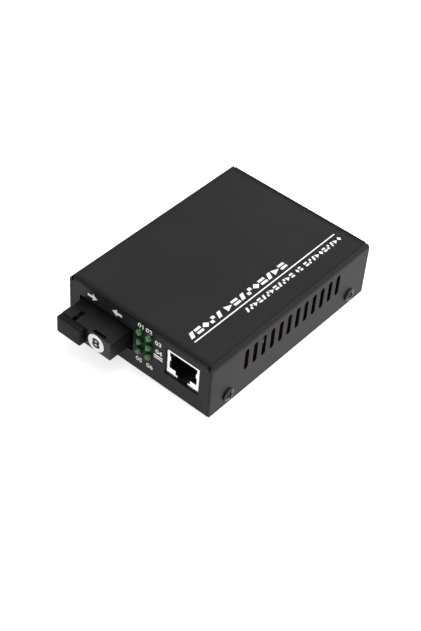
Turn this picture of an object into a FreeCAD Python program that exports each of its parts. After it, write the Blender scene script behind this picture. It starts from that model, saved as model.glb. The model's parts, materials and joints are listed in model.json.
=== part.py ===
import FreeCAD, Part
import math
import os
import re
import Sketcher

# A fibre media converter: a folded steel cover over a folded steel tray, with one board inside
# that carries a copper jack, a single-fibre optical module, six lamps and a power inlet.
# X runs across the case, -Y is the front with the ports, +Z is up, and the origin is the middle
# of the tray's underside. Lengths are in millimetres.

dimensions = {
    # case
    "case_depth": 94.0,
    "sheet": 1.0,
    "cover_bend": 2.0,
    "tray_bend": 1.2,
    "cover_lift": 1.1,
    "notch_radius": 0.6,
    "notch_inset": 1.7,
    "side_seam": 0.1,
    "top_seam": 0.25,
    "corner_clip": 1.8,
    "flange_height": 10.0,
    "corner_relief": 1.5,
    "board_margin": 2.4,
    "head_room": 1.1,
    # side vents
    "vent_count": 12,
    "vent_pitch": 5.0,
    "vent_width": 2.4,
    "vent_span": 10.2,
    "vent_drop": 3.7,
    # screws
    "screw_inset": 10.0,
    "screw_level": 6.0,
    "head_radius": 2.75,
    "head_height": 1.4,
    "head_crown": 5.75,
    "thread_radius": 1.25,
    "thread_play": 0.05,
    "clearance_radius": 1.7,
    "cover_screw_length": 4.0,
    "board_screw_length": 5.0,
    "recess_width": 0.75,
    "recess_span": 3.1,
    "recess_depth": 0.9,
    # board and its standoffs
    "board_gap": 1.0,
    "board_thickness": 1.6,
    "standoff_height": 6.0,
    "standoff_radius": 2.75,
    "foot_radius": 2.1,
    "foot_play": 0.05,
    "foot_recess": 0.1,
    "fixing_inset": 4.0,
    "fixing_gap": 1.3,
    "rear_fixing_inset": 5.0,
    "lead_tail": 1.0,
    "lead_play": 0.15,
    # copper jack
    "jack_margin": 1.75,
    "jack_width": 15.9,
    "jack_recess": 0.8,
    "jack_gap": 0.25,
    "jack_wall": 2.0,
    "jack_roof": 0.4,
    "shell_sheet": 0.3,
    "shell_rim": 1.4,
    "shell_brow": 1.5,
    "finger_length": 4.0,
    "finger_height": 2.2,
    "finger_drop": 1.8,
    "peg_length": 1.4,
    "cavity_width": 12.1,
    "cavity_height": 7.5,
    "cavity_level": 3.3,
    "cavity_depth": 13.5,
    "latch_width": 7.0,
    "latch_level": 1.5,
    "slot_width": 4.9,
    "slot_floor": 0.8,
    "contact_count": 8,
    "contact_pitch": 1.016,
    "contact_width": 0.45,
    "contact_thickness": 0.3,
    "contact_rise": 0.9,
    "contact_start": 4.0,
    "contact_reach": 7.0,
    "contact_dip": 3.9,
    "contact_bevel": 0.2,
    "chimney_gap": 1.5,
    "chimney_depth": 4.0,
    # optical module and its plug
    "module_margin": 2.2,
    "module_width": 24.6,
    "module_reach": 10.7,
    "module_length": 39.7,
    "module_foot": 0.5,
    "module_foot_length": 3.0,
    "module_foot_inset": 4.0,
    "module_drop": 1.0,
    "module_wall": 1.2,
    "module_edge": 0.3,
    "module_side_gap": 1.4,
    "module_top_gap": 0.8,
    "port_side": 1.2,
    "port_wall": 0.5,
    "port_width": 9.2,
    "port_height": 7.4,
    "port_depth": 10.0,
    "partition": 3.7,
    "key_width": 2.0,
    "key_length": 5.5,
    "window_inset": 6.45,
    "window_width": 5.9,
    "window_length": 1.3,
    "window_start": 0.7,
    "window_depth": 1.6,
    "holder_radius": 2.4,
    "sleeve_start": 3.0,
    "sleeve_sink": 0.5,
    "sleeve_radius": 1.6,
    "ferrule_radius": 1.25,
    "barrel_gap": 0.3,
    "barrel_length": 9.0,
    "can_step": 0.2,
    "can_length": 3.6,
    "receiver_radius": 2.3,
    "pin_count": 9,
    "pin_pitch": 2.54,
    "pin_width": 0.5,
    "pin_inset": 4.0,
    "pin_head": 0.5,
    "post_radius": 0.55,
    "post_setback": 1.5,
    "module_board_gap": 0.5,
    "module_board_thickness": 1.0,
    "module_board_clear": 1.5,
    "label_inset": 7.1,
    "label_radius": 4.0,
    "label_thickness": 0.12,
    "plug_width": 12.2,
    "plug_height": 8.1,
    "plug_head": 2.7,
    "plug_insert": 8.0,
    "plug_gap": 0.15,
    "plug_seat": 0.1,
    "plug_round": 1.0,
    "plug_bore": 2.8,
    # lamps
    "module_lamp_gap": 3.0,
    "lamp_jack_gap": 5.45,
    "lamp_foot": 3.6,
    "lamp_rise": 4.75,
    "lamp_radius": 1.5,
    "lamp_play": 0.15,
    "lamp_reach": 2.3,
    "lamp_length": 5.3,
    "lamp_flange": 0.4,
    "lamp_flange_length": 1.0,
    "seat_play": 0.05,
    "lead_width": 0.5,
    "lead_spread": 1.27,
    "lead_step": 2.2,
    "holder_wall": 0.3,
    "holder_gap": 0.3,
    "holder_depth": 9.4,
    # power inlet
    "inlet_gap": 1.75,
    "inlet_width": 9.0,
    "inlet_height": 11.0,
    "inlet_depth": 14.0,
    "inlet_axis": 6.5,
    "inlet_bore": 3.1,
    "inlet_bore_depth": 10.0,
    "inlet_pin": 1.05,
    "inlet_pin_length": 9.0,
    "inlet_root": 1.3,
    "inlet_root_play": 0.02,
    "inlet_tail": 0.4,
    "inlet_tail_step": 6.0,
    "inlet_spring": 0.3,
    "inlet_spring_gap": 0.1,
    "inlet_blade": 1.0,
    "inlet_hole": 3.8,
    # parts soldered to the board
    "gull_reach": 1.4,
    "gull_thickness": 0.2,
    "chip_gap": 7.0,
    "chip_side": 14.0,
    "chip_thickness": 1.5,
    "chip_lift": 0.1,
    "chip_leads": 16,
    "chip_lead_pitch": 0.8,
    "chip_lead_width": 0.35,
    "coil_gap": 2.65,
    "coil_width": 12.7,
    "coil_depth": 7.1,
    "coil_height": 5.6,
    "coil_leads": 8,
    "coil_lead_pitch": 1.27,
    "coil_lead_width": 0.5,
    "crystal_gap": 2.5,
    "crystal_radius": 2.3,
    "crystal_span": 6.8,
    "crystal_height": 3.5,
    "crystal_leads": 4.88,
    "input_can_inset": 12.0,
    "input_can_gap": 3.5,
    "input_can_radius": 4.0,
    "input_can_height": 11.5,
    "output_can_gap": 7.3,
    "output_can_radius": 3.15,
    "output_can_height": 7.0,
    "can_leads": 3.0,
    "regulator_inset": 2.0,
    "regulator_setback": 14.5,
    "regulator_width": 6.5,
    "regulator_depth": 3.5,
    "regulator_height": 1.7,
    "tab_width": 3.1,
    "tab_depth": 1.7,
    "tab_height": 0.3,
    "inductor_gap": 2.0,
    "inductor_setback": 11.0,
    "inductor_side": 7.0,
    "inductor_base": 1.0,
    "inductor_radius": 3.4,
    "inductor_height": 3.5,
    "diode_gap": 2.4,
    "diode_length": 4.3,
    "diode_width": 2.6,
    "diode_height": 2.2,
    "small_length": 1.6,
    "small_width": 0.8,
    "resistor_height": 0.45,
    "resistor_pitch": 2.4,
    "resistor_gap": 7.2,
    "capacitor_height": 0.8,
    "capacitor_pitch": 3.0,
    "capacitor_gap": 2.7,
}

# Sizes and places worked out from those, kept in the same sheet as formulas.
worked_out = {
    # levels of the board and what stands on it
    "board_under": "sheet + standoff_height",
    "board_top": "board_under + board_thickness",
    "tail_end": "board_under - lead_tail",
    "lamp_rim": "lamp_radius + lamp_flange",
    "holder_width": "2 * (lamp_rim + holder_wall)",
    "lamp_pitch": "holder_width + holder_gap",
    "lamp_level": "board_top + lamp_foot",
    # the board and the case around its front row of parts
    "board_width": "module_margin + module_width + module_lamp_gap + holder_width + lamp_pitch"
                   " + lamp_jack_gap + jack_width + jack_margin",
    "board_side": "board_width / 2",
    "case_width": "board_width + 2 * (board_margin + 2 * sheet + side_seam)",
    "case_height": "lamp_level + 2 * lamp_rise + holder_width / 2 + head_room + sheet",
    "half_width": "case_width / 2",
    "cover_inside": "half_width - sheet",
    "tray_side": "cover_inside - side_seam",
    "panel_top": "case_height - sheet - top_seam",
    "front": "-case_depth / 2",
    "back": "case_depth / 2",
    "board_end": "back - sheet - board_gap",
    "screw_reach": "case_depth / 2 - screw_inset",
    "vent_level": "case_height - vent_drop - vent_span / 2",
    "notch_across": "half_width - notch_inset",
    "notch_line": "front + notch_radius / 2",
    # copper jack
    "jack_middle": "board_side - jack_margin - jack_width / 2",
    "jack_left": "jack_middle - jack_width / 2",
    "jack_right": "jack_middle + jack_width / 2",
    "jack_face": "front + jack_recess",
    "chimney_front": "jack_face + cavity_depth + chimney_gap",
    "chimney_end": "chimney_front + chimney_depth",
    "jack_end": "chimney_end + jack_wall",
    "cavity_floor": "board_top + cavity_level",
    "cavity_roof": "cavity_floor + cavity_height",
    "contact_floor": "cavity_roof + contact_rise",
    "jack_top": "contact_floor + contact_thickness + jack_roof + shell_sheet",
    # optical module
    "module_left": "module_margin - board_side",
    "module_right": "module_left + module_width",
    "module_middle": "module_left + module_width / 2",
    "module_face": "front - module_reach",
    "module_end": "module_face + module_length",
    "module_under": "board_top + module_foot",
    "nose_level": "module_under + module_drop",
    "nose_height": "port_height + 2 * port_wall",
    "nose_top": "nose_level + nose_height",
    "port_middle": "module_left + port_side + port_width / 2",
    "port_level": "nose_level + nose_height / 2",
    "port_end": "module_face + port_depth",
    "window_middle": "module_right - window_inset",
    "label_middle": "module_right - label_inset",
    "plug_back": "module_face - plug_seat",
    "barrel_start": "port_end + partition",
    "barrel_end": "barrel_start + barrel_length",
    "barrel_radius": "nose_height / 2 - module_wall - barrel_gap",
    "module_inside_left": "module_left + module_wall",
    "module_inside_right": "module_right - module_wall",
    # lamps
    "lamp_column": "module_right + module_lamp_gap + holder_width / 2",
    "lamp_tip": "front - lamp_reach",
    "lamp_end": "lamp_tip + lamp_length",
    "holder_face": "front + sheet",
    "holder_end": "holder_face + holder_depth",
    # line transformer and the board's fixings
    "coil_middle": "jack_end + coil_gap + coil_depth / 2",
    "coil_end": "coil_middle + coil_depth / 2 + gull_reach",
    "fixing_across": "board_side - fixing_inset",
    "front_fixing": "max(coil_end; module_end) + head_radius + fixing_gap",
    "rear_fixing": "board_end - rear_fixing_inset",
    # power inlet
    "inlet_left": "head_radius + inlet_gap - fixing_across",
    "inlet_middle": "inlet_left + inlet_width / 2",
    "inlet_right": "inlet_left + inlet_width",
    "inlet_face": "back - sheet",
    "inlet_start": "inlet_face - inlet_depth",
    "inlet_floor": "inlet_face - inlet_bore_depth",
    "inlet_level": "board_top + inlet_axis",
    # other parts on the board
    "chip_middle": "(module_right + jack_left) / 2",
    "chip_line": "front_fixing + chip_gap + chip_side / 2",
    "chip_reach": "chip_side / 2 + gull_reach",
    "crystal_middle": "chip_middle - chip_reach - crystal_gap - crystal_radius - crystal_span / 2",
    "input_can_middle": "inlet_right + input_can_gap + input_can_radius",
    "input_can_line": "board_end - input_can_inset",
    "output_can_line": "chip_line + chip_reach + output_can_gap + output_can_radius * 2",
    "regulator_left": "regulator_inset - fixing_across",
    "regulator_middle": "regulator_left + regulator_width / 2",
    "regulator_line": "inlet_start - regulator_setback",
    "inductor_middle": "inlet_right + inductor_gap + inductor_side / 2",
    "inductor_line": "inlet_start - inductor_setback",
    "diode_middle": "inlet_right + diode_length / 2",
    "diode_line": "inlet_start - diode_gap - diode_width / 2",
    "resistor_line": "holder_end + resistor_gap",
}

doc = FreeCAD.newDocument("MediaConverter")
sheet = doc.addObject("Spreadsheet::Sheet", "Dims")
cells = {alias: str(amount) for alias, amount in dimensions.items()}
cells.update({alias: f"={formula}" for alias, formula in worked_out.items()})
for row, (alias, content) in enumerate(cells.items(), start=1):
    sheet.set(f"A{row}", alias)
    sheet.set(f"B{row}", content)
    sheet.setAlias(f"B{row}", alias)
doc.recompute()

nodes = {}


# ---- Helpers: expressions, primitives and bodies ----

def bind(item, name, text):
    """Drive one property of an item by an expression over the sheet's names."""
    words = re.sub(r"[a-z_]+", lambda word: f"Dims.{word[0]}" if word[0] in cells else word[0], text)
    item.setExpression(name, words)


def keep(label, item):
    """Name a finished piece and list it as a node of its own."""
    item.Label = label
    nodes[label] = item
    return item


def block(name, x, y, z):
    """A box between two corners, each side given as (low, high)."""
    item = doc.addObject("Part::Box", name)
    for side, axis, (low, high) in zip(("Length", "Width", "Height"), "xyz", (x, y, z)):
        bind(item, side, f"{high} - ({low})")
        bind(item, f"Placement.Base.{axis}", low)
    return item


def rod(name, axis, span, across, radius):
    """A cylinder along one axis between span's ends; across gives the other two places in order."""
    item = doc.addObject("Part::Cylinder", name)
    turns = {"x": (0, 1, 0, 90), "y": (1, 0, 0, -90), "z": (0, 0, 1, 0)}
    turn = turns[axis]
    item.Placement.Rotation = FreeCAD.Rotation(FreeCAD.Vector(*turn[:3]), turn[3])
    low, high = span
    bind(item, "Radius", radius)
    bind(item, "Height", f"{high} - ({low})")
    places = dict(zip([letter for letter in "xyz" if letter != axis], across))
    places[axis] = low
    for letter, place in places.items():
        bind(item, f"Placement.Base.{letter}", place)
    return item


def joined(name, *items):
    item = doc.addObject("Part::MultiFuse", name)
    item.Shapes = list(items)
    return item


def without(name, base, *tools):
    """The base with each tool cut away."""
    item = doc.addObject("Part::Cut", name)
    item.Base = base
    item.Tool = tools[0] if len(tools) == 1 else joined(f"{name}_tools", *tools)
    return item


def copies(name, places, *sources):
    """Separate solids at places (x, y, z[, turn about Z]), dealt out from the sources in turn."""
    links = []
    for number, (x, y, z, *turn) in enumerate(places):
        link = doc.addObject("App::Link", f"{name}_{number}")
        link.LinkedObject = sources[number % len(sources)]
        link.LinkTransform = True
        if turn:
            link.Placement.Rotation = turn[0]
        for axis, place in zip("xyz", (x, y, z)):
            bind(link, f"Placement.Base.{axis}", place)
        links.append(link)
    item = doc.addObject("Part::Compound", name)
    item.Links = links
    return item


def common(name, first, second):
    item = doc.addObject("Part::Common", name)
    item.Base, item.Tool = first, second
    return item


def ball(name, place, radius):
    """A sphere about a place (x, y, z)."""
    item = doc.addObject("Part::Sphere", name)
    bind(item, "Radius", radius)
    for axis, where in zip("xyz", place):
        bind(item, f"Placement.Base.{axis}", where)
    return item


def spread(middle, size):
    """The two ends, low and high, of a size laid evenly about a middle."""
    return (f"{middle} - ({size}) / 2", f"{middle} + ({size}) / 2")


def turned(degrees):
    return FreeCAD.Rotation(FreeCAD.Vector(0, 0, 1), degrees)


def body_named(name):
    return doc.addObject("PartDesign::Body", name)


def origin_item(body, role):
    return next(item for item in body.Origin.OriginFeatures if item.Role == role)


def sketch_on(body, name, plane, height):
    """An empty sketch on one of the body's own planes, moved along the plane's normal."""
    sketch = body.newObject("Sketcher::SketchObject", name)
    sketch.AttachmentSupport = (origin_item(body, f"{plane}_Plane"), [""])
    sketch.MapMode = "FlatFace"
    bind(sketch, "AttachmentOffset.Base.z", height)
    return sketch


def hold(sketch, kind, where, text, guess):
    """One driven constraint of a sketch."""
    number = sketch.addConstraint(Sketcher.Constraint(kind, *where, guess))
    bind(sketch, f"Constraints[{number}]", text)


def draw(sketch, shape):
    """Add a closed outline of corners [(x, y), ...] or a circle (x, y, radius) to a sketch."""
    first = sketch.GeometryCount
    if isinstance(shape, tuple):
        sketch.addGeometry(Part.Circle(FreeCAD.Vector(1, 1, 0), FreeCAD.Vector(0, 0, 1), 1))
        hold(sketch, "DistanceX", (-1, 1, first, 3), shape[0], 1.0)
        hold(sketch, "DistanceY", (-1, 1, first, 3), shape[1], 1.0)
        hold(sketch, "Radius", (first,), shape[2], 1.0)
        return
    count = len(shape)
    turns = [2 * math.pi * number / count for number in range(count)]
    ring = [FreeCAD.Vector(5 * math.cos(turn), 5 * math.sin(turn), 0) for turn in turns]
    for number in range(count):
        sketch.addGeometry(Part.LineSegment(ring[number], ring[(number + 1) % count]))
    for number, (x, y) in enumerate(shape):
        line = first + number
        following = first + (number + 1) % count
        sketch.addConstraint(Sketcher.Constraint("Coincident", line, 2, following, 1))
        hold(sketch, "DistanceX", (-1, 1, line, 1), x, ring[number].x)
        hold(sketch, "DistanceY", (-1, 1, line, 1), y, ring[number].y)


def rectangle(x, y):
    """The corners of a rectangle whose sides run from low to high."""
    return [(x[0], y[0]), (x[1], y[0]), (x[1], y[1]), (x[0], y[1])]


def pad(body, name, plane, span, *shapes):
    """Add material between span's ends along the plane's axis."""
    low, high = span
    sketch = sketch_on(body, f"{name}_sketch", plane, f"-({high})" if plane == "XZ" else low)
    for shape in shapes:
        draw(sketch, shape)
    feature = body.newObject("PartDesign::Pad", name)
    feature.Profile = sketch
    bind(feature, "Length", f"{high} - ({low})")
    doc.recompute()
    return feature


def pocket(body, name, plane, span, *shapes):
    """Cut material away between span's ends along the plane's axis, or both ways with no span."""
    before = body.Shape.Volume
    low, high = span or ("0", "0")
    sketch = sketch_on(body, f"{name}_sketch", plane, f"-({low})" if plane == "XZ" else high)
    for shape in shapes:
        draw(sketch, shape)
    feature = body.newObject("PartDesign::Pocket", name)
    feature.Profile = sketch
    if span:
        bind(feature, "Length", f"{high} - ({low})")
    else:
        feature.Type = "ThroughAll"
        feature.Midplane = True
    doc.recompute()
    if body.Shape.Volume > before - 1e-6:
        raise RuntimeError(f"{name} cuts nothing")
    return feature


def row_of(body, name, features, axis, pitch, count):
    """Repeat features along one of the body's axes."""
    pattern = body.newObject("PartDesign::LinearPattern", name)
    pattern.Originals = features
    pattern.Direction = (origin_item(body, f"{axis}_Axis"), [""])
    bind(pattern, "Length", f"({count} - 1) * {pitch}")
    bind(pattern, "Occurrences", count)
    body.Tip = pattern
    doc.recompute()
    return pattern


def round_over(body, name, radius, chosen):
    """Round the edges that chosen(edge, box of the whole body) picks."""
    tip = body.Tip
    limits = body.Shape.BoundBox
    edges = [f"Edge{number}" for number, edge in enumerate(body.Shape.Edges, 1) if chosen(edge, limits)]
    if not edges:
        raise RuntimeError(f"{name} finds no edge")
    feature = body.newObject("PartDesign::Fillet", name)
    feature.Base = (tip, edges)
    bind(feature, "Radius", radius)
    doc.recompute()
    return feature


def near(first, second):
    return abs(first - second) < 1e-4


def runs(edge, axis):
    """Whether a straight edge runs along one axis."""
    box = edge.BoundBox
    lengths = {"X": box.XLength, "Y": box.YLength, "Z": box.ZLength}
    along = lengths.pop(axis)
    return along > 1e-4 and all(other < 1e-4 for other in lengths.values())


# ---- Lead and fixing places that two pieces share ----

fixings = [(x, y) for x in ("-fixing_across", "fixing_across") for y in ("front_fixing", "rear_fixing")]
contact_places = [
    f"(jack_middle + ({number} - (contact_count - 1) / 2) * contact_pitch)"
    for number in range(dimensions["contact_count"])
]
contact_tails = [f"(chimney_front + {step} * chimney_depth)" for step in (0.35, 0.75)]
finger_levels = ("cavity_roof - finger_drop - finger_height", "cavity_roof - finger_drop")
shell_peg_line = "(jack_face + jack_end) / 2"
shell_pegs = [("jack_left", "jack_left + shell_sheet"), ("jack_right - shell_sheet", "jack_right")]
module_pin_line = "module_end - pin_inset"
module_pins = [
    f"(module_middle + ({number} - (pin_count - 1) / 2) * pin_pitch)"
    for number in range(dimensions["pin_count"])
]
module_posts = ["module_left + module_wall / 2", "module_right - module_wall / 2"]
module_post_line = "barrel_start + post_setback"
lamp_columns = ["lamp_column", "(lamp_column + lamp_pitch)"]
lamp_levels = [f"(lamp_level + {tier} * lamp_rise)" for tier in range(3)]
lamp_drops = [f"(lamp_end + ({tier} + 0.6) * lead_step)" for tier in range(3)]
lamp_leads = [f"{x} + {side} * lead_spread" for x in lamp_columns for side in (-1, 1)]
inlet_tails = [("inlet_middle", line)
               for line in ("inlet_start - inlet_tail / 2", "inlet_start + inlet_tail_step")]
round_leads = [
    (middle, f"{side} * {across} / 2", line)
    for middle, across, line in (("input_can_middle", "can_leads", "input_can_line"),
                                 ("chip_middle", "can_leads", "output_can_line"),
                                 ("crystal_middle", "crystal_leads", "chip_line"))
    for side in (-1, 1)
]


# ---- Case ----

def top_cover():
    """One sheet folded to a U, with a row of vents in each side and a notch at each end of its bends."""
    body = body_named("cover_body")
    pad(body, "cover_fold", "XZ", ("front", "back"), [
        ("-half_width", "cover_lift"), ("-cover_inside", "cover_lift"),
        ("-cover_inside", "case_height - sheet"), ("cover_inside", "case_height - sheet"),
        ("cover_inside", "cover_lift"), ("half_width", "cover_lift"),
        ("half_width", "case_height"), ("-half_width", "case_height"),
    ])
    round_over(body, "cover_outer_bend", "cover_bend",
               lambda edge, box: runs(edge, "Y") and near(edge.BoundBox.ZMin, box.ZMax))
    inner_top = max(edge.BoundBox.ZMin for edge in body.Shape.Edges
                    if runs(edge, "Y") and edge.BoundBox.ZMin < body.Shape.BoundBox.ZMax - 1e-4
                    and abs(edge.BoundBox.XMin) < body.Shape.BoundBox.XMax - 1e-4)
    round_over(body, "cover_inner_bend", "cover_bend - sheet",
               lambda edge, box: runs(edge, "Y") and near(edge.BoundBox.ZMin, inner_top)
               and box.XMax * 0.96 < abs(edge.BoundBox.XMin) < box.XMax - 1e-4)
    first_vent = "(-(vent_count - 1) / 2 * vent_pitch)"
    slot_ends = spread("vent_level", "vent_span - vent_width")
    middle = pocket(body, "vent_middle", "YZ", None, rectangle(spread(first_vent, "vent_width"), slot_ends))
    ends = pocket(body, "vent_ends", "YZ", None,
                  *[(first_vent, level, "vent_width / 2") for level in slot_ends])
    row_of(body, "vents", [middle, ends], "Y", "vent_pitch", "vent_count")
    pocket(body, "cover_screw_holes", "YZ", None,
           *[(f"{sign}screw_reach", "screw_level", "clearance_radius") for sign in ("-", "")])
    pocket(body, "corner_notches", "XY", ("case_height - cover_bend", "case_height + 1"),
           *[(x, y, "notch_radius")
             for x in ("-notch_across", "notch_across") for y in ("notch_line", "-notch_line")])
    keep("top_cover", body)


def base_tray():
    """One sheet folded up on four sides: the front and rear panels and two low side flanges."""
    body = body_named("tray_body")
    pad(body, "tray_panels", "YZ", ("-tray_side", "tray_side"), [
        ("front", "0"), ("back", "0"), ("back", "panel_top"), ("back - sheet", "panel_top"),
        ("back - sheet", "sheet"), ("front + sheet", "sheet"),
        ("front + sheet", "panel_top"), ("front", "panel_top"),
    ])
    round_over(body, "panel_bends", "tray_bend",
               lambda edge, box: runs(edge, "X") and near(edge.BoundBox.ZMin, 0)
               and near(abs(edge.BoundBox.YMin), box.YMax))
    inner, outer = "(tray_side - corner_relief)", "tray_side"
    pocket(body, "corner_reliefs", "XY", ("-sheet", "sheet * 1.5"),
           *[rectangle((f"{sign}{inner}", f"{sign}({outer} + sheet)"), ("front + sheet", "back - sheet"))
             for sign in ("-", "")])
    flange_run = ("front + sheet + corner_relief", "back - sheet - corner_relief")
    for name, sign in (("left_flange", "-"), ("right_flange", "")):
        pad(body, name, "XZ", flange_run, [
            (f"{sign}{inner}", "0"), (f"{sign}{outer}", "0"), (f"{sign}{outer}", "flange_height"),
            (f"{sign}({outer} - sheet)", "flange_height"), (f"{sign}({outer} - sheet)", "sheet"),
            (f"{sign}{inner}", "sheet")])
    round_over(body, "flange_bends", "tray_bend",
               lambda edge, box: runs(edge, "Y") and near(edge.BoundBox.ZMin, 0)
               and near(abs(edge.BoundBox.XMin), box.XMax) and edge.BoundBox.YLength > box.YLength / 2)
    pocket(body, "corner_clips", "XZ", None, *[
        [(f"{sign}(tray_side - corner_clip)", "panel_top + sheet"),
         (f"{sign}(tray_side + sheet)", "panel_top - corner_clip - sheet"),
         (f"{sign}(tray_side + sheet)", "panel_top + sheet")] for sign in ("-", "")])
    pocket(body, "front_openings", "XZ", ("front - sheet", "front + 2 * sheet"),
           rectangle(("jack_left - jack_gap", "jack_right + jack_gap"),
                     ("board_top - jack_gap", "jack_top + jack_gap")),
           rectangle(("module_left - module_side_gap", "module_right + module_side_gap"),
                     ("module_under - module_top_gap", "nose_top + module_top_gap")),
           *[(x, level, "lamp_radius + lamp_play") for x in lamp_columns for level in lamp_levels])
    pocket(body, "power_opening", "XZ", ("back - 2 * sheet", "back + sheet"),
           ("inlet_middle", "inlet_level", "inlet_hole"))
    pocket(body, "tapped_holes", "YZ", None,
           *[(f"{sign}screw_reach", "screw_level", "thread_radius + thread_play") for sign in ("-", "")])
    pocket(body, "standoff_holes", "XY", ("-sheet", "2 * sheet"),
           *[(x, y, "foot_radius + foot_play") for x, y in fixings])
    keep("base_tray", body)


# ---- Screws, standoffs and board ----

def pan_head_screw(name, length):
    """A cross-recess pan head screw, head up, seated at z = 0."""
    axis = ("0", "0")
    head = common(f"{name}_head", rod(f"{name}_disc", "z", ("0", "head_height"), axis, "head_radius"),
                  ball(f"{name}_crown", ("0", "0", "head_height - head_crown"), "head_crown"))
    arm, reach = spread("0", "recess_width"), spread("0", "recess_span")
    depth = ("head_height - recess_depth", "head_height + 1")
    recessed = without(f"{name}_recess", head, block(f"{name}_slot", arm, reach, depth),
                       block(f"{name}_cross", reach, arm, depth))
    return joined(name, recessed, rod(f"{name}_shank", "z", (f"-{length}", "0"), axis, "thread_radius"))


def screws_and_standoffs():
    cover_screw = pan_head_screw("cover_screw", "cover_screw_length")
    outward = [("half_width", FreeCAD.Rotation(FreeCAD.Vector(0, 1, 0), 90)),
               ("-half_width", FreeCAD.Rotation(FreeCAD.Vector(0, 1, 0), -90))]
    keep("cover_screws", copies("cover_screws", [
        (x, f"{sign}screw_reach", "screw_level", turn) for x, turn in outward for sign in ("-", "")
    ], cover_screw))
    board_screw = pan_head_screw("board_screw", "board_screw_length")
    keep("board_screws", copies("board_screws", [(x, y, "board_top") for x, y in fixings], board_screw))
    standoff = body_named("standoff")
    pad(standoff, "standoff_barrel", "XY", ("sheet", "board_under"), ("0", "0", "standoff_radius"))
    pad(standoff, "standoff_foot", "XY", ("foot_recess", "sheet"), ("0", "0", "foot_radius"))
    pocket(standoff, "standoff_thread", "XY", ("0", "board_under + 1"),
           ("0", "0", "thread_radius + thread_play"))
    keep("board_standoffs", copies("board_standoffs", [(x, y, "0") for x, y in fixings], standoff))


def circuit_board():
    """The board, drilled for its four screws and for every lead that goes through it."""
    body = body_named("board_body")
    pad(body, "board_sheet", "XY", ("board_under", "board_top"),
        rectangle(("-board_side", "board_side"), ("-board_end", "board_end")))
    through = ("board_under - 1", "board_top + 1")
    pocket(body, "fixing_holes", "XY", through, *[(x, y, "clearance_radius") for x, y in fixings])
    pin_hole = "pin_width + 2 * lead_play"
    pocket(body, "module_holes", "XY", through,
           *[(x, module_post_line, "post_radius + lead_play") for x in module_posts],
           *[rectangle(spread(x, pin_hole), spread(module_pin_line, pin_hole)) for x in module_pins])
    pocket(body, "jack_holes", "XY", through,
           *[rectangle(spread(x, "contact_width + 2 * lead_play"),
                       (f"{contact_tails[number % 2]} - lead_play",
                        f"{contact_tails[number % 2]} + contact_thickness + lead_play"))
             for number, x in enumerate(contact_places)],
           *[rectangle((f"{low} - lead_play", f"{high} + lead_play"),
                       spread(shell_peg_line, "peg_length + 2 * lead_play")) for low, high in shell_pegs])
    pocket(body, "lamp_holes", "XY", through,
           *[rectangle(spread(x, "lead_width + 2 * lead_play"), spread(drop, "lead_width + 2 * lead_play"))
             for x in lamp_leads for drop in lamp_drops])
    pocket(body, "inlet_holes", "XY", through,
           *[rectangle(spread(x, "inlet_blade + 2 * lead_play"), spread(y, "inlet_tail + 2 * lead_play"))
             for x, y in inlet_tails])
    pocket(body, "round_holes", "XY", through,
           *[(f"{middle} + {offset}", line, "lead_width / 2 + lead_play")
             for middle, offset, line in round_leads])
    keep("circuit_board", body)


# ---- Copper jack ----

def jack_outline(bottom, half_width, top):
    """The plug's opening with its two latch steps, from a given bottom up to a given roof."""
    steps = [("slot_width / 2", bottom), ("slot_width / 2", "board_top + latch_level"),
             ("latch_width / 2", "board_top + latch_level"), ("latch_width / 2", "cavity_floor"),
             (half_width, "cavity_floor"), (half_width, top)]
    return ([(f"jack_middle - ({across})", level) for across, level in steps]
            + [(f"jack_middle + {across}", level) for across, level in steps[::-1]])


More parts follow.
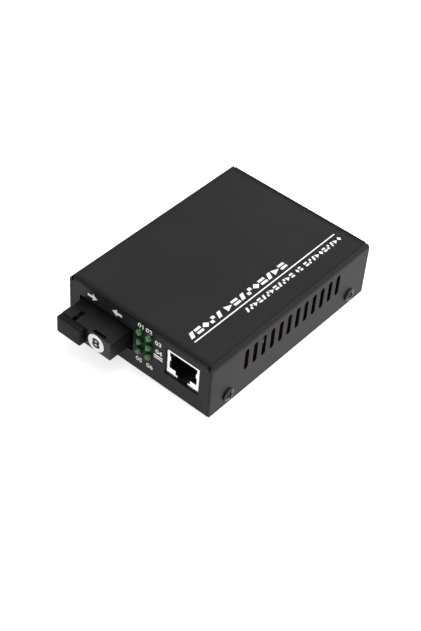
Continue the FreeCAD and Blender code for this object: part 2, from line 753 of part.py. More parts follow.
def copper_jack():
    """A bent tin-plated shell around a moulded body with eight spring contacts."""
    shell = body_named("shell_body")
    inner = ("jack_left + shell_sheet", "jack_right - shell_sheet")
    inner_run = ("jack_face + shell_sheet", "jack_end - shell_sheet")
    pad(shell, "shell_box", "XY", ("board_top", "jack_top"),
        rectangle(("jack_left", "jack_right"), ("jack_face", "jack_end")))
    pocket(shell, "shell_inside", "XY", ("board_top - 1", "jack_top - shell_sheet"),
           rectangle(inner, inner_run))
    pocket(shell, "shell_mouth", "XZ", ("jack_face - 1", "jack_face + 1"),
           jack_outline("board_top - 1", "jack_width / 2 - shell_rim", "jack_top - shell_brow"))
    for name, side in (("left_finger", -1), ("right_finger", 1)):
        wall = f"jack_middle + {side} * cavity_width / 2"
        rim = f"jack_middle + {side} * (jack_width - shell_rim) / 2"
        back_wall = f"{wall} + {side} * shell_sheet"
        pad(shell, name, "XY", finger_levels, [
            (rim, "jack_face"), (wall, "jack_face"), (wall, "jack_face + finger_length"),
            (back_wall, "jack_face + finger_length"), (back_wall, "jack_face + shell_sheet"),
            (rim, "jack_face + shell_sheet")])
    for name, x in zip(("left_peg", "right_peg"), shell_pegs):
        pad(shell, name, "XY", ("tail_end", "board_top"), rectangle(x, spread(shell_peg_line, "peg_length")))
    round_over(shell, "shell_corners", "shell_sheet * 1.5",
               lambda edge, box: runs(edge, "Y") and near(edge.BoundBox.ZMin, box.ZMax))
    keep("rj45_shell", shell)

    insert = body_named("insert_body")
    pad(insert, "insert_block", "XY", ("board_top", "jack_top - shell_sheet"), rectangle(inner, inner_run))
    pocket(insert, "plug_cavity", "XZ", ("jack_face - 1", "jack_face + cavity_depth"),
           jack_outline("board_top + slot_floor", "cavity_width / 2", "cavity_roof"))
    pocket(insert, "finger_seats", "XY", finger_levels,
           rectangle(spread("jack_middle", "cavity_width + 2 * shell_sheet"),
                     ("jack_face", "jack_face + finger_length")))
    comb = spread("jack_middle", "contact_pitch * contact_count")
    pocket(insert, "contact_channel", "XY", ("contact_floor", "jack_top"),
           rectangle(comb, ("jack_face + contact_start - 1", "chimney_end")))
    pocket(insert, "contact_window", "XY", ("cavity_roof - 1", "jack_top"),
           rectangle(comb, ("jack_face + contact_start - 1", "jack_face + cavity_depth - chimney_gap")))
    pocket(insert, "contact_chimney", "XY", ("board_top - 1", "jack_top"),
           rectangle(comb, ("chimney_front", "chimney_end")))
    keep("rj45_body", insert)

    contacts = []
    for number, tail in enumerate(contact_tails):
        contact = body_named(f"contact_{number}")
        nose = "jack_face + contact_start"
        dip = "contact_floor - contact_dip"
        pad(contact, f"contact_wire_{number}", "YZ", spread("0", "contact_width"), [
            (tail, "tail_end"), (tail, "contact_floor"), (f"{nose} + contact_thickness * 2", "contact_floor"),
            (f"{nose} + contact_reach", dip),
            (f"{nose} + contact_reach - contact_bevel", f"{dip} - contact_thickness"),
            (nose, "contact_floor - contact_thickness / 2"), (nose, "contact_floor + contact_thickness"),
            (f"{tail} + contact_thickness", "contact_floor + contact_thickness"),
            (f"{tail} + contact_thickness", "tail_end"),
        ])
        contacts.append(contact)
    keep("rj45_contacts", copies("rj45_contacts", [(x, "0", "0") for x in contact_places], *contacts))


# ---- Optical module ----

def module_housing():
    """The moulded housing: its nose holds the fibre port, and its rear is open towards the board."""
    body = body_named("housing_body")
    sides = ("module_left", "module_right")
    inside = ("module_inside_left", "module_inside_right")
    pad(body, "module_nose", "XZ", ("module_face", "front + sheet"),
        rectangle(sides, ("nose_level", "nose_top")))
    pad(body, "module_block", "XZ", ("front + sheet / 2", "module_end"),
        rectangle(sides, ("module_under", "nose_top")))
    round_over(body, "module_edges", "module_edge",
               lambda edge, box: runs(edge, "Y") and near(edge.BoundBox.ZMin, box.ZMax))
    pocket(body, "module_inside", "XY", ("module_under - 1", "nose_top - module_wall"),
           rectangle(inside, ("barrel_start", "module_end - module_wall")))
    pocket(body, "fibre_port", "XZ", ("module_face - 1", "port_end"),
           rectangle(spread("port_middle", "port_width"), spread("port_level", "port_height")))
    pocket(body, "holder_bore", "XZ", ("port_end - 1", "barrel_start + 1"),
           ("port_middle", "port_level", "holder_radius"))
    pocket(body, "key_slot", "XY", ("port_level", "nose_top + 1"),
           rectangle(spread("port_middle", "key_width"), ("module_face - 1", "module_face + key_length")))
    pocket(body, "nose_window", "XY", ("nose_top - window_depth", "nose_top + 1"),
           rectangle(spread("window_middle", "window_width"),
                     ("module_face + window_start", "module_face + window_start + window_length")))
    pad(body, "module_feet", "XY", ("board_top", "module_under"),
        *[rectangle(x, (start, f"{start} + module_foot_length"))
          for x in ((sides[0], inside[0]), (inside[1], sides[1]))
          for start in (f"{module_post_line} + post_setback", "module_end - module_foot_inset")])
    pad(body, "module_posts", "XY", ("tail_end", "module_under"),
        *[(x, module_post_line, "post_radius") for x in module_posts])
    keep("transceiver_housing", body)


def module_optics():
    """The sleeve that receives the fibre's ferrule, and the barrel with its sending and receiving cans."""
    axis = ("port_middle", "port_level")
    sleeve_front = "module_face + sleeve_start"
    keep("sleeve_holder", without(
        "holder_tube", rod("holder_outside", "y", (sleeve_front, "barrel_start"), axis, "holder_radius"),
        rod("holder_inside", "y", (f"{sleeve_front} - 1", "barrel_start + 1"), axis, "sleeve_radius")))
    keep("ceramic_sleeve", without(
        "sleeve_tube",
        rod("sleeve_outside", "y", (f"{sleeve_front} + sleeve_sink", "barrel_start"), axis, "sleeve_radius"),
        rod("sleeve_inside", "y", (f"{sleeve_front} - 1", "port_end"), axis, "ferrule_radius")))
    keep("optical_barrel", rod("optical_barrel", "y", ("barrel_start", "barrel_end"), axis, "barrel_radius"))
    keep("laser_can", rod("laser_can", "y", ("barrel_end", "barrel_end + can_length"), axis,
                          "barrel_radius - can_step"))
    across = ("(barrel_start + barrel_end) / 2", "port_level")
    keep("receiver_can", without(
        "receiver_shell",
        rod("receiver_core", "x", ("port_middle + 1", "port_middle + barrel_radius + can_length"), across,
            "receiver_radius"),
        rod("receiver_seat", "y", ("barrel_start", "barrel_end"), axis, "barrel_radius")))


def module_electronics():
    """The module's own board, its row of pins and the round sticker on its face."""
    board = body_named("module_board")
    floor = "module_under + module_board_gap"
    left, right = "module_inside_left + seat_play", "module_inside_right - seat_play"
    step_x = "port_middle + barrel_radius + module_board_clear"
    step_y = "barrel_end + can_length + module_board_clear / 2"
    near_edge, far_edge = "barrel_start + seat_play", "module_end - module_wall - seat_play"
    pad(board, "module_board_sheet", "XY", (floor, f"{floor} + module_board_thickness"), [
        (left, step_y), (step_x, step_y), (step_x, near_edge),
        (right, near_edge), (right, far_edge), (left, far_edge)])
    pin_hole = "pin_width + 2 * seat_play"
    pocket(board, "module_board_holes", "XY", (f"{floor} - 1", f"{floor} + module_board_thickness + 1"),
           *[rectangle(spread(x, pin_hole), spread(module_pin_line, pin_hole)) for x in module_pins])
    keep("transceiver_board", board)
    pin = block("module_pin", spread("0", "pin_width"), spread("0", "pin_width"),
                ("tail_end", f"{floor} + module_board_thickness + pin_head"))
    places = [(x, module_pin_line, "0") for x in module_pins]
    keep("transceiver_pins", copies("transceiver_pins", places, pin))
    keep("module_label", rod("module_label", "y", ("module_face - label_thickness", "module_face"),
                             ("label_middle", "port_level"), "label_radius"))


def dust_plug():
    """A moulded plug: a thick rounded head and a hollow, slotted insert over the sleeve's holder."""
    body = body_named("plug_body")
    pad(body, "plug_head_block", "XZ", ("plug_back - plug_head", "plug_back"),
        rectangle(spread("port_middle", "plug_width"), spread("port_level", "plug_height")))
    round_over(body, "plug_corners", "plug_round", lambda edge, box: runs(edge, "Y"))
    round_over(body, "plug_face_edge", "plug_round * 0.6",
               lambda edge, box: near(edge.BoundBox.YMax, box.YMin))
    pad(body, "plug_insert_block", "XZ", ("plug_back", "plug_back + plug_insert"),
        rectangle(spread("port_middle", "port_width - 2 * plug_gap"),
                  spread("port_level", "port_height - 2 * plug_gap")))
    pocket(body, "plug_bore", "XZ", ("plug_back", "plug_back + plug_insert + 1"),
           ("port_middle", "port_level", "plug_bore"))
    pocket(body, "plug_key_slot", "XY", ("port_level", "port_level + port_height / 2"),
           rectangle(spread("port_middle", "key_width"), ("plug_back", "plug_back + key_length")))
    keep("dust_plug", body)


# ---- Lamps ----

def lamps():
    """Two columns of three lamps, each column in a moulded right-angle holder."""
    axis = ("0", "0")
    flange = ("lamp_end - lamp_flange_length", "lamp_end")
    lens = joined("lamp_lens", ball("lamp_dome", ("0", "lamp_tip + lamp_radius", "0"), "lamp_radius"),
                  rod("lamp_barrel", "y", ("lamp_tip + lamp_radius", flange[0]), axis, "lamp_radius"),
                  rod("lamp_base", "y", flange, axis, "lamp_rim"))
    places = [(x, level) for x in lamp_columns for level in lamp_levels]
    for number, (x, level) in enumerate(places, 1):
        keep(f"led_{number}", copies(f"led_{number}", [(x, "0", level)], lens))
    for side, x in zip(("left", "right"), lamp_columns):
        holder = body_named(f"holder_{side}")
        roof = f"{lamp_levels[2]} + holder_width / 2"
        pad(holder, f"holder_block_{side}", "XY", ("board_top", roof),
            rectangle(spread(x, "holder_width"), ("holder_face", "holder_end")))
        pocket(holder, f"holder_bores_{side}", "XZ", ("holder_face - 1", "lamp_end"),
               *[(x, level, "lamp_radius + seat_play") for level in lamp_levels])
        pocket(holder, f"holder_seats_{side}", "XZ", (flange[0], "lamp_end + 1"),
               *[(x, level, "lamp_rim + seat_play") for level in lamp_levels])
        pocket(holder, f"holder_slot_{side}", "XY", ("board_top - 1", f"{roof} - 2 * holder_wall"),
               rectangle(spread(x, "2 * lead_spread + lead_width + 2 * lead_play"),
                         ("lamp_end + 0.2", "holder_end + 1")))
        keep(f"led_holder_{side}", holder)
    wires = []
    for tier, (drop, level) in enumerate(zip(lamp_drops, lamp_levels)):
        wire = body_named(f"lead_{tier}")
        low, high = spread(level, "lead_width")
        near_side, far_side = spread(drop, "lead_width")
        pad(wire, f"lead_wire_{tier}", "YZ", spread("0", "lead_width"), [
            ("lamp_end", low), ("lamp_end", high), (far_side, high), (far_side, "tail_end"),
            (near_side, "tail_end"), (near_side, low)])
        wires.append(wire)
    keep("led_leads", copies("led_leads", [(x, "0", "0") for x in lamp_leads for _ in wires], *wires))


# ---- Power inlet ----

def power_inlet():
    """A barrel inlet behind the round hole in the rear panel."""
    axis = ("inlet_middle", "inlet_level")
    blade = spread("inlet_middle", "inlet_blade")
    spring_top = "inlet_level - inlet_bore - inlet_spring_gap"
    spring = (f"{spring_top} - inlet_spring", spring_top)
    spring_tail = spread(inlet_tails[1][1], "inlet_tail")
    keep("dc_jack_housing", without(
        "inlet_shell",
        block("inlet_block", ("inlet_left", "inlet_right"), ("inlet_start", "inlet_face"),
              ("board_top", "board_top + inlet_height")),
        rod("inlet_opening", "y", ("inlet_floor", "inlet_face + 1"), axis, "inlet_bore"),
        rod("inlet_root_seat", "y", ("inlet_start - 1", "inlet_floor + 1"), axis,
            "inlet_root + inlet_root_play"),
        block("inlet_spring_slot", spread("inlet_middle", "inlet_blade * 2"),
              (f"{spring_tail[0]} - 1", "inlet_face - 1.5"),
              ("board_top - 1", "inlet_level - inlet_bore * 0.9"))))
    root_end = "inlet_start - inlet_tail"
    keep("dc_jack_pin", joined(
        "inlet_pin_parts",
        rod("inlet_pin_rod", "y", ("inlet_floor", "inlet_floor + inlet_pin_length"), axis, "inlet_pin"),
        rod("inlet_pin_root", "y", (root_end, "inlet_floor"), axis, "inlet_root"),
        block("inlet_pin_blade", blade, (root_end, "inlet_start"), ("tail_end", "inlet_level"))))
    keep("dc_jack_spring", joined(
        "inlet_spring_parts",
        block("inlet_spring_leaf", spread("inlet_middle", "inlet_blade * 1.8"),
              (spring_tail[0], "inlet_face - 2"), spring),
        block("inlet_spring_tail", blade, spring_tail, ("tail_end", spring[1]))))


# ---- Parts soldered to the board ----

def gull_lead(name, width, height):
    """A bent lead that leaves a package at its shoulder height and lands on the board."""
    body = body_named(name)
    bend = "gull_reach * 0.4"
    pad(body, f"{name}_strip", "XZ", spread("0", width), [
        ("0", f"{height} - gull_thickness"), (f"{bend} - gull_thickness", f"{height} - gull_thickness"),
        (f"{bend} - gull_thickness", "0"), ("gull_reach", "0"), ("gull_reach", "gull_thickness"),
        (bend, "gull_thickness"), (bend, height), ("0", height)])
    return body


def controller():
    """The converter chip: a square package with leads on all four sides."""
    keep("controller_chip", block("controller_chip", spread("chip_middle", "chip_side"),
                                  spread("chip_line", "chip_side"),
                                  ("board_top + chip_lift", "board_top + chip_lift + chip_thickness")))
    lead = gull_lead("chip_lead", "chip_lead_width", "chip_thickness / 2 + 0.2")
    places = []
    for number in range(dimensions["chip_leads"]):
        along = f"({number} - (chip_leads - 1) / 2) * chip_lead_pitch"
        places += [("chip_middle + chip_side / 2", f"chip_line + {along}", "board_top", turned(0)),
                   (f"chip_middle + {along}", "chip_line + chip_side / 2", "board_top", turned(90)),
                   ("chip_middle - chip_side / 2", f"chip_line + {along}", "board_top", turned(180)),
                   (f"chip_middle + {along}", "chip_line - chip_side / 2", "board_top", turned(270))]
    keep("controller_leads", copies("controller_leads", places, lead))


def line_transformer():
    """The isolating transformer of the copper line, behind its jack."""
    keep("line_transformer", block("line_transformer", spread("jack_middle", "coil_width"),
                                   spread("coil_middle", "coil_depth"),
                                   ("board_top + 0.2", "board_top + 0.2 + coil_height")))
    lead = gull_lead("coil_lead", "coil_lead_width", "coil_height / 4")
    places = []
    for number in range(dimensions["coil_leads"]):
        x = f"jack_middle + ({number} - (coil_leads - 1) / 2) * coil_lead_pitch"
        places += [(x, "coil_middle + coil_depth / 2", "board_top", turned(90)),
                   (x, "coil_middle - coil_depth / 2", "board_top", turned(270))]
    keep("transformer_leads", copies("transformer_leads", places, lead))


def can_on_leads(name, parts, leads):
    """One soldered part: its body's pieces and two round leads through the board."""
    wires = [rod(f"{name}_lead_{number}", "z", ("tail_end", "board_top"), (f"{middle} + {offset}", line),
                 "lead_width / 2")
             for number, (middle, offset, line) in enumerate(leads)]
    keep(name, joined(f"{name}_parts", *parts, *wires))


def leaded_parts():
    """The two capacitors and the clock crystal."""
    can_on_leads("input_capacitor", [
        rod("input_can", "z", ("board_top", "board_top + input_can_height"),
            ("input_can_middle", "input_can_line"), "input_can_radius")], round_leads[0:2])
    can_on_leads("output_capacitor", [
        rod("output_can", "z", ("board_top", "board_top + output_can_height"),
            ("chip_middle", "output_can_line"), "output_can_radius")], round_leads[2:4])
    height = ("board_top", "board_top + crystal_height")
    sides = spread("crystal_middle", "crystal_span")
    can_on_leads("clock_crystal", [
        block("crystal_block", sides, spread("chip_line", "2 * crystal_radius"), height),
        *[rod(f"crystal_end_{number}", "z", height, (side, "chip_line"), "crystal_radius")
          for number, side in enumerate(sides)]], round_leads[4:6])


def surface_parts():
    """The supply parts and the rows of chip resistors and capacitors."""
    keep("voltage_regulator", joined(
        "regulator_parts",
        block("regulator_body", ("regulator_left", "regulator_left + regulator_width"),
              ("regulator_line - regulator_depth", "regulator_line"),
              ("board_top", "board_top + regulator_height")),
        block("regulator_tab", spread("regulator_middle", "tab_width"),
              ("regulator_line", "regulator_line + tab_depth"), ("board_top", "board_top + tab_height"))))
    core_start = "board_top + inductor_base"
    keep("power_inductor", joined(
        "inductor_parts",
        block("inductor_plate", spread("inductor_middle", "inductor_side"),
              spread("inductor_line", "inductor_side"), ("board_top", core_start)),
        rod("inductor_core", "z", (core_start, f"{core_start} + inductor_height"),
            ("inductor_middle", "inductor_line"), "inductor_radius")))
    keep("protection_diode", block("protection_diode", spread("diode_middle", "diode_length"),
                                   spread("diode_line", "diode_width"),
                                   ("board_top", "board_top + diode_height")))
    footprint = (spread("0", "small_length"), spread("0", "small_width"))
    resistor = block("resistor", *footprint, ("0", "resistor_height"))
    keep("led_resistors", copies("led_resistors", [
        (f"chip_middle + ({number} - 2.5) * resistor_pitch", "resistor_line", "board_top")
        for number in range(6)
    ], resistor))
    chip_capacitor = block("chip_capacitor", *footprint, ("0", "capacitor_height"))
    keep("bypass_capacitors", copies("bypass_capacitors", [
        (f"chip_middle + ({number} - 2.5) * capacitor_pitch",
         f"chip_line {sign} (chip_reach + capacitor_gap + small_width / 2)", "board_top")
        for sign in ("-", "+") for number in range(6)
    ], chip_capacitor))


top_cover()
base_tray()
screws_and_standoffs()
circuit_board()
copper_jack()
module_housing()
module_optics()
module_electronics()
dust_plug()
lamps()
power_inlet()
controller()
line_transformer()
leaded_parts()
surface_parts()

doc.recompute()
for item in doc.Objects:
    if "Invalid" in item.State or "Error" in item.State:
        raise RuntimeError(f"{item.Name} failed: {item.State}")
for label, item in nodes.items():
    if item.Shape.isNull() or not item.Shape.isValid():
        raise RuntimeError(f"{label} has no valid shape")

os.makedirs("parts", exist_ok=True)
for label, item in nodes.items():
    item.Shape.exportStep(f"parts/{label}.step")
    print(f"{label}: {len(item.Shape.Solids)} solid(s), {item.Shape.Volume:.1f} mm3")
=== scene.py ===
import json
import math
import bmesh
import bpy
from mathutils import Matrix, Vector


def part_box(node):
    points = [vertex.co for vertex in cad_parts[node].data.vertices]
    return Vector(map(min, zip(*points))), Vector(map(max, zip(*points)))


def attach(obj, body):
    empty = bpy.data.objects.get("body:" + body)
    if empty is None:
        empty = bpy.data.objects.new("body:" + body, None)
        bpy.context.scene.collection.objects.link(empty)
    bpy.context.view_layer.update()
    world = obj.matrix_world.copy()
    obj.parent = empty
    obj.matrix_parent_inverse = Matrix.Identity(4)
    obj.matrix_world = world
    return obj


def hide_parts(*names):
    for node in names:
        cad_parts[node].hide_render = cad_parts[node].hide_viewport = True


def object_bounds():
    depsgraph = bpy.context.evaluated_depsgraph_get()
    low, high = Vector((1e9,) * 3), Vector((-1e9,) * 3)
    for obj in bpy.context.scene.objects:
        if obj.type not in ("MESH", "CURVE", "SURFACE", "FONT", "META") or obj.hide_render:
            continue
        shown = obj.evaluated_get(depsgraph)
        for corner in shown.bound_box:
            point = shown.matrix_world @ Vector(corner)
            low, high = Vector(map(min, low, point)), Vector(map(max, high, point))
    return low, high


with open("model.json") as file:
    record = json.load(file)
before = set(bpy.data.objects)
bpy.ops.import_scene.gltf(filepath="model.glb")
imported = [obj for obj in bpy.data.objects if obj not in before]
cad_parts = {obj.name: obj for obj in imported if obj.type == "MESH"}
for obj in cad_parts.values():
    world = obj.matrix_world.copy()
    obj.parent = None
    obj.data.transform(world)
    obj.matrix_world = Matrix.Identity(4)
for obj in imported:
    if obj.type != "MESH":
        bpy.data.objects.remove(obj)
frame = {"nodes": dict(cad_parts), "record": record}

cadLow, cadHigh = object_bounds()
scene = bpy.context.scene
scene.view_settings.view_transform = "Standard"
mm = 0.001
weld = 1e-7  # points closer than this are one
nodeSlots = {part["node"]: part["material_slot"] for part in frame["record"]["subparts"]}
print("frame loaded")


# materials: small helpers for node trees

def linearTone(tone):
    values = [tone] * 3 if isinstance(tone, (int, float)) else tone
    return [((value / 255 + 0.055) / 1.055) ** 2.4 for value in values] + [1.0]


def addNode(tree, kind, **settings):
    node = tree.nodes.new(kind)
    for name, value in settings.items():
        if name in node.inputs:
            node.inputs[name].default_value = value
        else:
            setattr(node, name, value)
    return node


def remap(tree, source, low, high, fromLow=0.0, fromHigh=1.0):
    node = addNode(tree, "ShaderNodeMapRange", **{
        "From Min": fromLow, "From Max": fromHigh, "To Min": low, "To Max": high})
    tree.links.new(source, node.inputs["Value"])
    return node.outputs["Result"]


def blendTones(tree, mask, first, second):
    node = addNode(tree, "ShaderNodeMix", data_type="RGBA")
    tree.links.new(mask, node.inputs["Factor"])
    for socket, tone in ((node.inputs["A"], first), (node.inputs["B"], second)):
        if isinstance(tone, bpy.types.NodeSocket):
            tree.links.new(tone, socket)
        else:
            socket.default_value = linearTone(tone)
    return next(out for out in node.outputs if out.type == "RGBA")


def newGroup(name, inputs, outputs):
    group = bpy.data.node_groups.new(name, "ShaderNodeTree")
    group.interface.new_socket("Position", in_out="INPUT", socket_type="NodeSocketVector")
    for label, value in inputs.items():
        socket = group.interface.new_socket(label, in_out="INPUT", socket_type="NodeSocketFloat")
        socket.default_value = value
    for label in outputs:
        group.interface.new_socket(label, in_out="OUTPUT", socket_type="NodeSocketFloat")
    return group, group.nodes.new("NodeGroupInput"), group.nodes.new("NodeGroupOutput")


noiseSpan = (0.3, 0.7)  # most of a noise's values lie between these


def makeGrain():
    # fine bumps of a coat or moulding, and a slow drift of its shade
    group, given, result = newGroup("surfaceGrain", {"Fine": 4000.0, "Slow": 40.0},
                                    ["Height", "Speckle", "Drift"])
    fine = addNode(group, "ShaderNodeTexNoise", Detail=3.0, Roughness=0.6)
    slow = addNode(group, "ShaderNodeTexNoise", Detail=2.0)
    cells = addNode(group, "ShaderNodeTexVoronoi", feature="SMOOTH_F1")
    for texture, scale in ((fine, "Fine"), (slow, "Slow"), (cells, "Fine")):
        group.links.new(given.outputs["Position"], texture.inputs["Vector"])
        group.links.new(given.outputs[scale], texture.inputs["Scale"])
    height = addNode(group, "ShaderNodeMath", operation="SUBTRACT")
    group.links.new(fine.outputs["Fac"], height.inputs[0])
    group.links.new(cells.outputs["Distance"], height.inputs[1])
    group.links.new(height.outputs[0], result.inputs["Height"])
    group.links.new(remap(group, fine.outputs["Fac"], 0, 1, *noiseSpan), result.inputs["Speckle"])
    group.links.new(remap(group, slow.outputs["Fac"], 0, 1, *noiseSpan), result.inputs["Drift"])
    return group


def makeStreaks():
    # drawing lines of rolled or plated sheet, long along one axis
    group, given, result = newGroup("rollingStreaks", {"Across": 3000.0, "Along": 120.0}, ["Streak"])
    stretch = addNode(group, "ShaderNodeVectorMath", operation="MULTIPLY")
    size = addNode(group, "ShaderNodeCombineXYZ")
    for axis, source in (("X", "Across"), ("Y", "Along"), ("Z", "Across")):
        group.links.new(given.outputs[source], size.inputs[axis])
    group.links.new(given.outputs["Position"], stretch.inputs[0])
    group.links.new(size.outputs[0], stretch.inputs[1])
    noise = addNode(group, "ShaderNodeTexNoise", Scale=1.0, Detail=2.0)
    group.links.new(stretch.outputs[0], noise.inputs["Vector"])
    group.links.new(remap(group, noise.outputs["Fac"], 0, 1, *noiseSpan), result.inputs["Streak"])
    return group


surfaceGrain = makeGrain()
rollingStreaks = makeStreaks()


def startMaterial(name):
    material = bpy.data.materials.new(name)
    material.use_nodes = True
    tree = material.node_tree
    position = addNode(tree, "ShaderNodeTexCoord").outputs["Object"]
    return material, tree, tree.nodes["Principled BSDF"], position


def useGroup(tree, group, position, **values):
    node = addNode(tree, "ShaderNodeGroup", node_tree=group)
    for label, value in values.items():
        node.inputs[label].default_value = value
    tree.links.new(position, node.inputs["Position"])
    return node


def raiseBumps(tree, shader, height, depth):
    bump = addNode(tree, "ShaderNodeBump", Strength=1.0, Distance=depth)
    tree.links.new(height, bump.inputs["Height"])
    tree.links.new(bump.outputs["Normal"], shader.inputs["Normal"])


def moulded(name, dark, light, rough, fine=2500.0, slow=60.0, depth=0.01 * mm, shine=0.5):
    # plastics, inks, ceramics and papers: grain with a slow drift of shade
    material, tree, shader, position = startMaterial(name)
    grain = useGroup(tree, surfaceGrain, position, Fine=fine, Slow=slow)
    tree.links.new(blendTones(tree, grain.outputs["Drift"], dark, light), shader.inputs["Base Color"])
    tree.links.new(remap(tree, grain.outputs["Speckle"], *rough), shader.inputs["Roughness"])
    shader.inputs["Specular IOR Level"].default_value = shine
    raiseBumps(tree, shader, grain.outputs["Height"], depth)
    return material


def plated(name, dark, light, rough, across=3000.0, along=120.0, depth=0.002 * mm):
    # bare and plated metals with rolling or drawing lines
    material, tree, shader, position = startMaterial(name)
    lines = useGroup(tree, rollingStreaks, position, Across=across, Along=along)
    tree.links.new(blendTones(tree, lines.outputs["Streak"], dark, light), shader.inputs["Base Color"])
    tree.links.new(remap(tree, lines.outputs["Streak"], *rough), shader.inputs["Roughness"])
    shader.inputs["Metallic"].default_value = 1.0
    raiseBumps(tree, shader, lines.outputs["Streak"], depth)
    return material


def fade(tree, source, clear, full):
    # 0 at clear and 1 at full, in whichever order the two lie
    if clear < full:
        return remap(tree, source, 0, 1, clear, full)
    return remap(tree, source, 1, 0, full, clear)


def together(tree, first, second, operation="MULTIPLY"):
    node = addNode(tree, "ShaderNodeMath", operation=operation)
    for socket, source in zip(node.inputs, (first, second)):
        if isinstance(source, bpy.types.NodeSocket):
            tree.links.new(source, socket)
        else:
            socket.default_value = source
    return node.outputs[0]


def axes(tree, position):
    # how far a point is from the middle plane in x and y, and its height
    apart = addNode(tree, "ShaderNodeSeparateXYZ")
    tree.links.new(position, apart.inputs[0])
    reaches = []
    for axis in "XY":
        reach = addNode(tree, "ShaderNodeMath", operation="ABSOLUTE")
        tree.links.new(apart.outputs[axis], reach.inputs[0])
        reaches.append(reach.outputs[0])
    return reaches[0], reaches[1], apart.outputs["Z"]


# the edge tone is a painted dark reflection along the roof's edges and bends, and the inside tone is
# painted shade inside the case
coat = {"dark": 28, "light": 33, "edge": 4, "inside": 3, "shine": 0.11,
        "rough": (0.42, 0.52), "edgeRough": 0.6,
        "fine": 5200.0, "slow": 25.0, "depth": 0.008 * mm,
        "edgeBand": 3.0 * mm, "edgeEnd": 0.4 * mm,  # the painted dark band, in from the roof's edges
        "bendTop": 0.55 * mm, "bendEnd": 0.8 * mm,  # and down round the bend
        "skin": 0.2 * mm, "sheet": 1.0 * mm,
        "within": 1.2, "underRoof": (2.0, 3.0)}  # where the painted shade inside the case is full, in sheets


def powderCoat():
    # textured powder coat: a painted dark reflection along the roof's edges and round the bends, and
    # painted shade inside the case, both duller
    material, tree, shader, position = startMaterial("powderCoat")
    grain = useGroup(tree, surfaceGrain, position, Fine=coat["fine"], Slow=coat["slow"])
    body = blendTones(tree, grain.outputs["Drift"], coat["dark"], coat["light"])
    across, along, height = axes(tree, position)
    side, end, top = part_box("top_cover")[1]
    # painted dark reflection: a band in from the roof's edges, running down round the bend
    edge = together(tree, fade(tree, across, side - coat["edgeBand"], side - coat["edgeEnd"]),
                    fade(tree, along, end - coat["edgeBand"], end - coat["edgeEnd"]), "MAXIMUM")
    paintedDarkBand = together(tree, edge, fade(tree, height, top - coat["bendEnd"], top - coat["bendTop"]))
    # painted shade on the case's inner faces, between the floor and just under the roof
    paintedInsideShade = together(tree, fade(tree, across, side - coat["skin"], side - 2 * coat["skin"]),
                     fade(tree, along, end - coat["sheet"], end - coat["within"] * coat["sheet"]))
    start, full = (top - count * coat["sheet"] for count in coat["underRoof"])
    level = together(tree, fade(tree, height, coat["sheet"], coat["within"] * coat["sheet"]),
                     fade(tree, height, start, full))
    paintedInsideShade = together(tree, paintedInsideShade, level)
    tone = blendTones(tree, paintedDarkBand, body, coat["edge"])
    tree.links.new(blendTones(tree, paintedInsideShade, tone, coat["inside"]), shader.inputs["Base Color"])
    dull = together(tree, paintedDarkBand, paintedInsideShade, "MAXIMUM")
    speckled = remap(tree, grain.outputs["Speckle"], *coat["rough"])
    tree.links.new(together(tree, speckled, remap(tree, dull, 0, coat["edgeRough"]), "MAXIMUM"),
                   shader.inputs["Roughness"])
    shader.inputs["Specular IOR Level"].default_value = coat["shine"]
    raiseBumps(tree, shader, grain.outputs["Height"], coat["depth"])
    return material


lens = {"tone": (58, 168, 92), "deep": (22, 112, 50), "rough": (0.03, 0.07), "clear": 0.82,
        "shine": 0.5, "refraction": 1.52, "fine": 900.0, "slow": 300.0}


def lampEpoxy():
    # tinted epoxy: clear enough to show its depth, with a slow drift to a deeper tone
    material, tree, shader, position = startMaterial("lampEpoxy")
    grain = useGroup(tree, surfaceGrain, position, Fine=lens["fine"], Slow=lens["slow"])
    tone = blendTones(tree, grain.outputs["Drift"], lens["deep"], lens["tone"])
    tree.links.new(tone, shader.inputs["Base Color"])
    tree.links.new(remap(tree, grain.outputs["Speckle"], *lens["rough"]), shader.inputs["Roughness"])
    shader.inputs["Transmission Weight"].default_value = lens["clear"]
    shader.inputs["IOR"].default_value = lens["refraction"]
    shader.inputs["Specular IOR Level"].default_value = lens["shine"]
    return material


# the sides tone is painted shade on the flange behind its front face
plugFace = {"front": 15, "sides": 5, "depth": 1.2 * mm, "full": 0.8, "rough": (0.5, 0.6), "shine": 0.11,
            "fine": 3800.0, "slow": 60.0, "drift": (0.85, 1.0), "bumps": 0.014 * mm}


def plugRubber():
    # soft moulding with painted shade: the front face keeps the moulding's tone, and the faces behind it
    # are painted darker for the shadow behind the flange
    material, tree, shader, position = startMaterial("plugRubber")
    grain = useGroup(tree, surfaceGrain, position, Fine=plugFace["fine"], Slow=plugFace["slow"])
    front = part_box("dust_plug")[0][1]
    away = axes(tree, position)[1]
    # 1 on the front face, falling to 0 where the painted shade sets in behind it
    clearOfPaintedShade = fade(tree, away, -front - plugFace["depth"], -front - plugFace["full"] * plugFace["depth"])
    drift = remap(tree, grain.outputs["Drift"], *plugFace["drift"])
    tone = blendTones(tree, together(tree, clearOfPaintedShade, drift), plugFace["sides"], plugFace["front"])
    tree.links.new(tone, shader.inputs["Base Color"])
    tree.links.new(remap(tree, grain.outputs["Speckle"], *plugFace["rough"]), shader.inputs["Roughness"])
    shader.inputs["Specular IOR Level"].default_value = plugFace["shine"]
    raiseBumps(tree, shader, grain.outputs["Height"], plugFace["bumps"])
    return material


screwFinish = {"dark": 40, "light": 58, "recess": 4, "rough": (0.3, 0.42), "lines": 1800.0,
               "bumps": 0.002 * mm, "reach": 1.6 * mm, "beyond": 1.1, "deep": 0.45 * mm}


